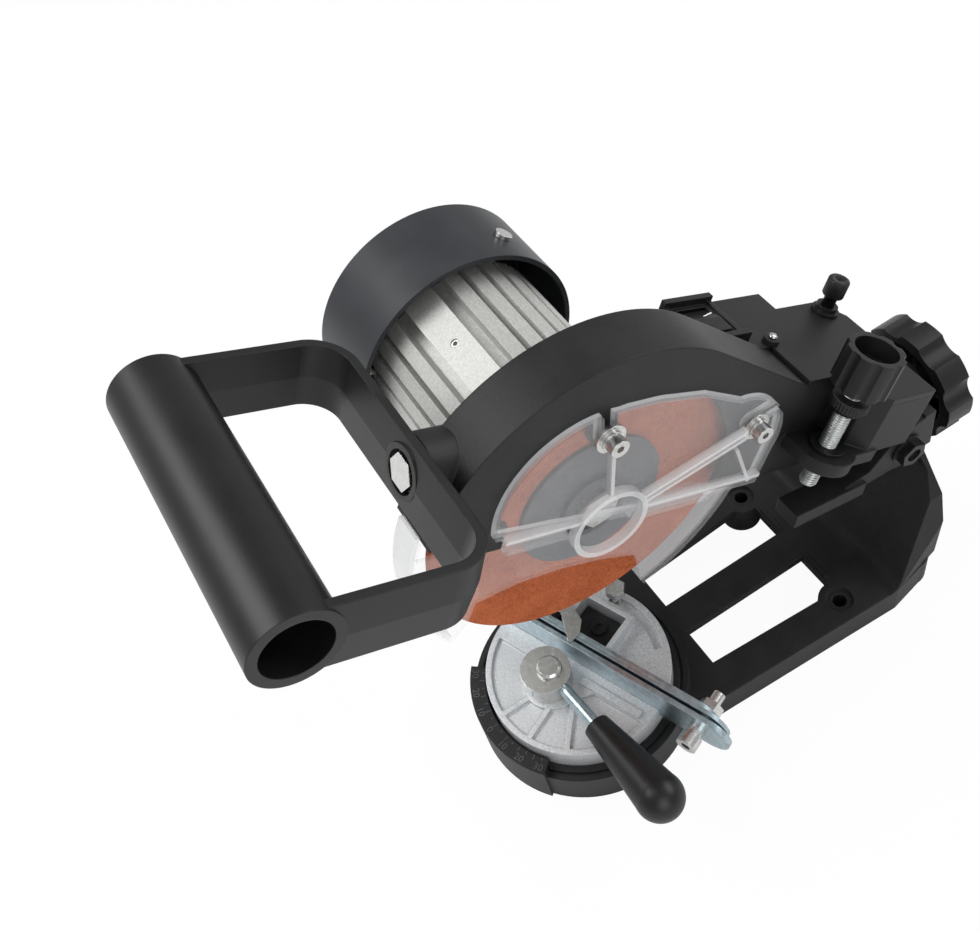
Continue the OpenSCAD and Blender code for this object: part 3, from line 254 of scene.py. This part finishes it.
def clear_plastic(name):
    """Clear moulded plastic: nearly clear through its two flat faces, which lie 4 to 6 mm and
    12 to 14 mm from the wheel's plane, and more opaque and whitish in the walls and ribs beside
    them, a painted sheen for the light their edges catch, with hairline haze."""
    lower_face, upper_face, half_thick = 0.005, 0.013, 0.00104
    f = Finish(name)
    p = f.place()
    ripple = f.noise(p, 60.0, 1.0)
    haze = f.noise(f.stretched(p, (3, 1, 1)), 420.0, 4.0, 0.7)
    across = f.node("ShaderNodeSeparateXYZ", {}, {"Vector": p})
    # Walls and ribs get more white alpha by their place: a painted sheen for the light that their
    # edges catch
    painted_wall_sheen = across.off(lower_face, half_thick) * across.off(upper_face, half_thick)
    return f.principled({
        "Base Color": f.blend(haze, (0.80, 0.81, 0.83, 1), (0.92, 0.93, 0.94, 1)),
        "Roughness": haze * 0.06 + 0.03,
        "Alpha": painted_wall_sheen * 0.3 + haze * 0.05 + 0.09,
        "Specular IOR Level": 0.9,
        "Normal": f.bump(ripple, 0.0002),
    })


BLACK = coated("black_powder_coat", linear(18, 18, 20), linear(29, 29, 31),
               rough=0.46, grain=1500.0, depth=0.00004, edge=0.0007, specular=0.32)
CAST_BLACK = coated("black_cast_paint", linear(17, 17, 18), linear(30, 30, 32),
                    rough=0.5, grain=900.0, depth=0.0001, edge=0.0011, specular=0.32)
PLASTIC = coated("black_moulded_plastic", linear(14, 14, 15), linear(22, 22, 24),
                 rough=0.4, grain=1800.0, depth=0.00003, edge=0.0006, specular=0.36)
DARK_PAINT = coated("dark_grey_paint", linear(40, 42, 45), linear(49, 51, 55),
                    rough=0.42, grain=1700.0, depth=0.00002, edge=0.0005, specular=0.35)
MARKING = coated("white_marking", linear(214, 214, 212), linear(236, 236, 234),
                 rough=0.5, grain=900.0, depth=0.00001, edge=0.0001)
MOTOR = metal("extruded_aluminium", linear(176, 176, 173), linear(206, 206, 203),
              rough=0.55, scale=900.0, grain=2400.0, depth=0.00002, edge=0.0004, metallic=0.6)
CASTING = metal("bare_zinc_casting", linear(184, 187, 189), linear(216, 218, 220),
                rough=0.5, scale=900.0, grain=1800.0, depth=0.00009, edge=0.0008, metallic=0.7)
ZINC = metal("blue_zinc_plate", linear(150, 168, 176), linear(196, 212, 218),
             rough=0.32, scale=300.0, grain=1500.0, depth=0.00001, edge=0.0004)
STEEL = metal("bright_nickel_plate", linear(192, 192, 190), linear(216, 216, 214),
              rough=0.24, scale=400.0, grain=1500.0, depth=0.000004, edge=0.0003)
THREAD = metal("bright_rolled_thread", linear(176, 180, 180), linear(214, 216, 214),
               rough=0.36, scale=400.0, grain=1500.0, depth=0.000003, edge=0.00004)
# Figures and ticks: black lighter than the ring around them, a painted highlight on their raised
# tops
RAISED_MARK_HIGHLIGHT = coated("raised_black_painted_highlight", linear(48, 48, 50), linear(78, 78, 80),
                rough=0.36, grain=900.0, depth=0.00002, edge=0.0001)
FLANGE = metal("dark_turned_steel", linear(70, 72, 76), linear(92, 94, 98),
               rough=0.4, scale=300.0, grain=1500.0, depth=0.00001, edge=0.0003, metallic=0.8)
OXIDE = metal("black_oxide", linear(24, 24, 26), linear(42, 42, 44),
              rough=0.42, scale=300.0, grain=1500.0, depth=0.00002, edge=0.0004, metallic=0.6)
LAMINATION = metal("stacked_laminations", linear(96, 96, 98), linear(150, 150, 152),
                   rough=0.5, scale=300.0, grain=900.0, depth=0.00005, edge=0.0003,
                   metallic=0.9, streak=(6, 1, 1))
GRIT = abrasive("bonded_grit")
CLEAR = clear_plastic("clear_guard_plastic")

WEARS = {
    CAST_BLACK: "base_plate tilt_bracket head_casting pawl_carrier",
    BLACK: "arm_cover cover_screw",
    PLASTIC: "tilt_knob switch_bezel switch_rocker depth_knob handle cord_gland lever_knob "
             "cooling_fan ear_bush",
    DARK_PAINT: "fan_cover end_cap",
    MOTOR: "motor_housing",
    CASTING: "turntable",
    ZINC: "front_rail rear_rail backing_rail lever_rod depth_rod",
    STEEL: "tilt_stud tilt_washer spindle front_bearing rear_bearing fan_cover_screws set_screw "
           "flange_nut guard_screws guard_washers handle_bolt handle_washer pivot_bolt "
           "pivot_washer rail_bolt rail_nut pawl_pin chain_pawl adjusting_bolt clamp_pin "
           "clamp_collar",
    FLANGE: "inner_flange outer_flange",
    OXIDE: "hinge_bolt hinge_nut stop_screw stop_washers lock_nut pocket_screw",
    LAMINATION: "stator rotor",
    GRIT: "grinding_wheel",
    CLEAR: "upper_cover lower_guard",
}
dressed = set()
for finish, names in WEARS.items():
    for n in names.split():
        NODES[n].data.materials.clear()
        NODES[n].data.materials.append(finish)
        dressed.add(n)
assert dressed == set(NODES), dressed ^ set(NODES)


# ---- Surfaces ----

def head_point(p):
    """Points of the swinging head's own frame, in mm, to the model's metres: a turn about the
    hinge."""
    a = math.radians(HEAD_UP)
    x, y, z = p[:, 0], p[:, 1], p[:, 2]
    return np.stack((x, HINGE_Y + y * math.cos(a) + z * math.sin(a),
                     HINGE_Z - y * math.sin(a) + z * math.cos(a)), 1) * MM


def in_head(points, x, y, z):
    """Points with their own z up the head's z, put at a place in the head's frame."""
    return head_point(points + np.array((x, y, z), float))


def swung(points, degrees):
    """Points turned about z."""
    a = math.radians(degrees)
    x, y = points[:, 0], points[:, 1]
    return np.stack((x * math.cos(a) - y * math.sin(a), x * math.sin(a) + y * math.cos(a),
                     points[:, 2]), 1)


def grid_faces(rows, columns):
    """Quads between the rows of a grid of points, whose last column joins its first."""
    i, j = np.meshgrid(np.arange(rows - 1), np.arange(columns), indexing="ij")
    k = (j + 1) % columns
    return np.stack((i * columns + j, i * columns + k, (i + 1) * columns + k,
                     (i + 1) * columns + j), 2).reshape(-1, 4)


def piece(name, points, faces, finish, body, smooth=True):
    """A mesh from arrays of points and faces, riding on a body."""
    mesh = bpy.data.meshes.new(name)
    mesh.from_pydata(points.tolist(), [], [list(map(int, f)) for f in faces])
    mesh.polygons.foreach_set("use_smooth", [smooth] * len(mesh.polygons))
    mesh.materials.append(finish)
    mesh.update()
    obj = bpy.data.objects.new(name, mesh)
    bpy.context.scene.collection.objects.link(obj)
    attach(obj, body)
    return obj


def turned(profile, columns):
    """Turned piece round z: each row of the profile has a height and a radius, which may be a
    function of the angle. A row may stand below the one before it, for a socket. Both ends
    close in a pole."""
    angle = np.arange(columns) / columns * 2 * math.pi
    rows = []
    for height, radius in profile:
        r = radius(angle) if callable(radius) else np.full(columns, float(radius))
        rows.append(np.stack((r * np.cos(angle), r * np.sin(angle),
                              np.full(columns, float(height))), 1))
    count = len(rows)
    poles = np.array([[0, 0, profile[0][0]], [0, 0, profile[-1][0]]], float)
    points = np.vstack(rows + [poles])
    j = np.arange(columns)
    k = (j + 1) % columns
    low, high, top = count * columns, count * columns + 1, (count - 1) * columns
    faces = grid_faces(count, columns).tolist()
    faces += np.stack((np.full(columns, low), k, j), 1).tolist()
    faces += np.stack((np.full(columns, high), top + j, top + k), 1).tolist()
    return points, faces


def thread(outer, pitch, depth, low, high):
    """Profile of a screw thread. At height h and angle t the phase is h / pitch - t / 2 pi,
    less its whole turns, and the radius is outer - depth * max(cut, 1 - end). There
    cut = 1 - 1.25 |2 phase - 1|, and end is the way to the nearer end over one pitch, both
    kept from 0 to 1, so a fifth of the pitch is crest and both ends are chamfered."""
    flank, rows_per_turn = 1.25, 8

    def row(h):
        def radius(angle):
            phase = (h / pitch - angle / (2 * math.pi)) % 1.0
            cut = np.clip(1 - np.abs(phase * 2 - 1) * flank, 0, 1)
            end = np.clip(min(h - low, high - h) / pitch, 0.0, 1.0)
            return outer - depth * np.maximum(cut, 1 - end)
        return radius
    return [(h, row(h)) for h in
            np.linspace(low, high, int((high - low) / pitch * rows_per_turn) + 1)]


def knurl(outer, ridges, depth):
    """Radius of a knurled rim: outer less depth |sin(ridges t / 2)|^2, one valley a ridge."""
    return lambda angle: outer - depth * np.abs(np.sin(angle * ridges / 2)) ** 2


def hexagon(across):
    """Radius of a hexagon that is that wide across its flats."""
    return lambda angle: across / 2 / np.cos((angle % (math.pi / 3)) - math.pi / 6)


def block(x, y, z):
    """Box between two limits on each axis, in mm, with its faces outward."""
    points = np.array([(i, j, k) for i in x for j in y for k in z], float)
    return points, [(0, 1, 3, 2), (4, 6, 7, 5), (0, 4, 5, 1), (2, 3, 7, 6), (0, 2, 6, 4),
                    (1, 5, 7, 3)]


def figures(text, height):
    """Digits as a mesh lying in x and y, 0.3 mm thick, centred on the origin."""
    half_thick, digit_share = 0.15, 0.7
    curve = bpy.data.curves.new("figures", "FONT")
    curve.body = text
    curve.size = height / digit_share
    curve.extrude = half_thick
    curve.resolution_u = 3
    curve.align_x = "CENTER"
    curve.align_y = "CENTER"
    held = bpy.data.objects.new("figures", curve)
    bpy.context.scene.collection.objects.link(held)
    bpy.context.view_layer.update()
    shown = held.evaluated_get(bpy.context.evaluated_depsgraph_get())
    mesh = bpy.data.meshes.new_from_object(shown)
    points = np.array([tuple(v.co) for v in mesh.vertices])
    faces = [tuple(p.vertices) for p in mesh.polygons]
    bpy.data.objects.remove(held)
    bpy.data.curves.remove(curve)
    bpy.data.meshes.remove(mesh)
    return points, faces


def joined(parts):
    """One set of points and faces from several."""
    points, faces, count = [], [], 0
    for p, f in parts:
        points.append(p)
        faces += [tuple(int(i) + count for i in face) for face in f]
        count += len(p)
    return np.vstack(points), faces


# ---- Threads and knurls ----

def depth_thread():
    """Threaded stop rod: thread() with an outer radius of 4, a pitch of 1.25 and a depth of
    0.75, from -10 to 55 mm."""
    points, faces = turned(thread(ROD_R, ROD_PITCH, THREAD_DEPTH, ROD_END, ROD_TOP), 32)
    rod = piece("depth_thread", in_head(points, ROD_X, -ROD_Y, 0), faces, THREAD,
                "depth_rod")
    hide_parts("depth_rod")


def knurled_nut():
    """Lock nut: a plain hub of radius 6.5 under a rim of radius 8.5 less 0.45 |sin 17 t|^2."""
    rim = knurl(8.5, 34, 0.45)
    profile = [(0, 6.2), (0.3, 6.5), (2, 6.5), (2.02, 7.9), (2.5, rim), (6.5, rim), (7, 7.9)]
    points, faces = turned(profile, 170)
    nut = piece("knurled_nut", in_head(points, ROD_X, -ROD_Y, LOCK_NUT_Z), faces, OXIDE,
                "lock_nut")
    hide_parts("lock_nut")


def stop_screw_cap():
    """Upper stop: a plain shank of radius 3 under a head of radius 5 less 0.25 |sin 12 t|^2,
    round a hexagon 4.5 across and 4.6 deep."""
    rim, key = knurl(5, 24, 0.25), hexagon(4.5)
    profile = [(-11, 2.6), (-10.6, 3), (-0.01, 3), (0, 4.7), (0.4, rim), (7.9, rim), (8.5, 4.5),
               (8.5, key), (3.9, key)]
    points, faces = turned(profile, 96)
    cap = piece("stop_screw_cap",
                in_head(points, STOP_X, STOP_Y, ARM_TOP + COVER_T + STOP_RISE), faces, OXIDE,
                "head")
    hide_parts("stop_screw")


def cover_screw_tip():
    """Bright domed end over the cover screw: radius falls from 2.0 to 0.6 over 1.7 mm."""
    points, faces = turned([(0, 2.0), (1.0, 2.0), (1.45, 1.5), (1.7, 0.6)], 32)
    piece("cover_screw_tip",
          in_head(points, COVER_SCREW_X, COVER_SCREW_Y, ARM_TOP + COVER_T + COVER_SCREW_RISE),
          faces, STEEL, "head")


def pocket_block():
    """Black block on the floor of the vise's pocket, round the screw's head, turned with the
    vise: painted shade that darkens the pocket."""
    points, faces = block(*POCKET_SHADE_BLOCK)
    points = swung(points, VISE_TURN) + (0, VISE_Y, 0)
    piece("pocket_block", points * MM, faces, CAST_BLACK, "vise", smooth=False)


# ---- Markings ----

def scale_marks():
    """Angle figures and ticks raised 0.15 mm on the fixed ring, in a lighter black that paints
    their highlight, each turned about the vise's axis from straight forward; the figures stand
    upright to a reader at the front."""
    parts = []
    for step in range(-7, 8):
        deep = LONG_TICK if step % 2 == 0 else SHORT_TICK
        tick = block((-0.22, 0.22), (-TICK_RADIUS - deep, -TICK_RADIUS), (-0.15, 0.15))
        parts.append((tick, step * TICK_STEP))
    for value in (-30, -20, -10, 0, 10, 20, 30):
        points, faces = figures(str(abs(value)), FIGURE_HEIGHT)
        parts.append(((points + (0, -FIGURE_RADIUS, 0), faces), value * FIGURE_SPREAD))
    placed = [(swung(points, angle) + (0, VISE_Y, RING_TOP), faces)
              for (points, faces), angle in parts]
    points, faces = joined(placed)
    piece("scale_marks", points * MM, faces, RAISED_MARK_HIGHLIGHT, "base", smooth=False)


def rocker_line():
    """White line along the rocker's top."""
    points, faces = block((-0.3, 0.3), (-3.0, 3.0), (-0.3, 0.3))
    piece("rocker_line", in_head(swung(points, LINE_TURN), *LINE_AT), faces, MARKING,
          "rocker", smooth=False)


depth_thread()
knurled_nut()
stop_screw_cap()
cover_screw_tip()
pocket_block()
scale_marks()
rocker_line()


# ---- Stage ----

def seen(tree):
    """1 for rays from the camera and for transmitted ones, and 0 for all others."""
    path = tree.nodes.new("ShaderNodeLightPath")
    camera, through = (Wire(tree, path.outputs[k]) for k in
                       ("Is Camera Ray", "Is Transmission Ray"))
    return camera.most(through)


def surround(scene):
    """White to the camera, and half as bright to the light that falls on the model."""
    world = bpy.data.worlds.new("studio")
    scene.world = world
    world.use_nodes = True
    tree = world.node_tree
    tree.nodes.clear()
    back = tree.nodes.new("ShaderNodeBackground")
    back.inputs["Color"].default_value = (1, 1, 1, 1)
    strength = seen(tree) * 0.5 + 0.5
    tree.links.new(strength.socket, back.inputs["Strength"])
    out = tree.nodes.new("ShaderNodeOutputWorld")
    tree.links.new(back.outputs[0], out.inputs["Surface"])


def pale_floor(scene):
    """Floor just under the base, nearly all glow to the camera so that it ends in the surround."""
    f = Finish("pale_floor")
    tone = f.noise(f.place(), 3.0, 2.0)
    pale = f.blend(tone, (0.80, 0.80, 0.80, 1), (0.84, 0.84, 0.84, 1))
    diffuse = f.node("ShaderNodeBsdfDiffuse", {}, {"Color": pale})
    glow = f.node("ShaderNodeEmission", {}, {"Color": (1, 1, 1, 1), "Strength": 1.0})
    mix = f.node("ShaderNodeMixShader", {}, {0: seen(f.tree) * 0.95, 1: diffuse, 2: glow})
    f.node("ShaderNodeOutputMaterial", {}, {"Surface": mix})
    mesh = bpy.data.meshes.new("floor")
    half, z = 3.0, -0.0002
    corners = [(-half, -half, z), (half, -half, z), (half, half, z), (-half, half, z)]
    mesh.from_pydata(corners, [], [(0, 1, 2, 3)])
    mesh.materials.append(f.mat)
    floor = bpy.data.objects.new("floor", mesh)
    scene.collection.objects.link(floor)


def soft_box(scene, name, at, size, power):
    """Rectangular lamp at a place in metres, turned to the model's middle."""
    middle = Vector((0.0, -0.1, 0.1))
    data = bpy.data.lights.new(name, "AREA")
    data.shape = "RECTANGLE"
    data.size, data.size_y = size
    data.energy = power
    lamp = bpy.data.objects.new(name, data)
    scene.collection.objects.link(lamp)
    turn = (Vector(at) - middle).to_track_quat("Z", "Y").to_matrix().to_4x4()
    lamp.matrix_world = Matrix.Translation(Vector(at)) @ turn


def stage():
    """Pale floor, soft boxes over and in front, and a white surround."""
    scene = bpy.context.scene
    scene.view_settings.view_transform = "Standard"
    surround(scene)
    pale_floor(scene)
    soft_box(scene, "key", (-0.55, -0.75, 1.25), (0.9, 0.9), 13.0)
    soft_box(scene, "fill", (1.1, -0.3, 0.75), (0.8, 1.0), 6.0)
    soft_box(scene, "back", (0.1, 1.0, 1.0), (1.2, 0.6), 9.0)


stage()
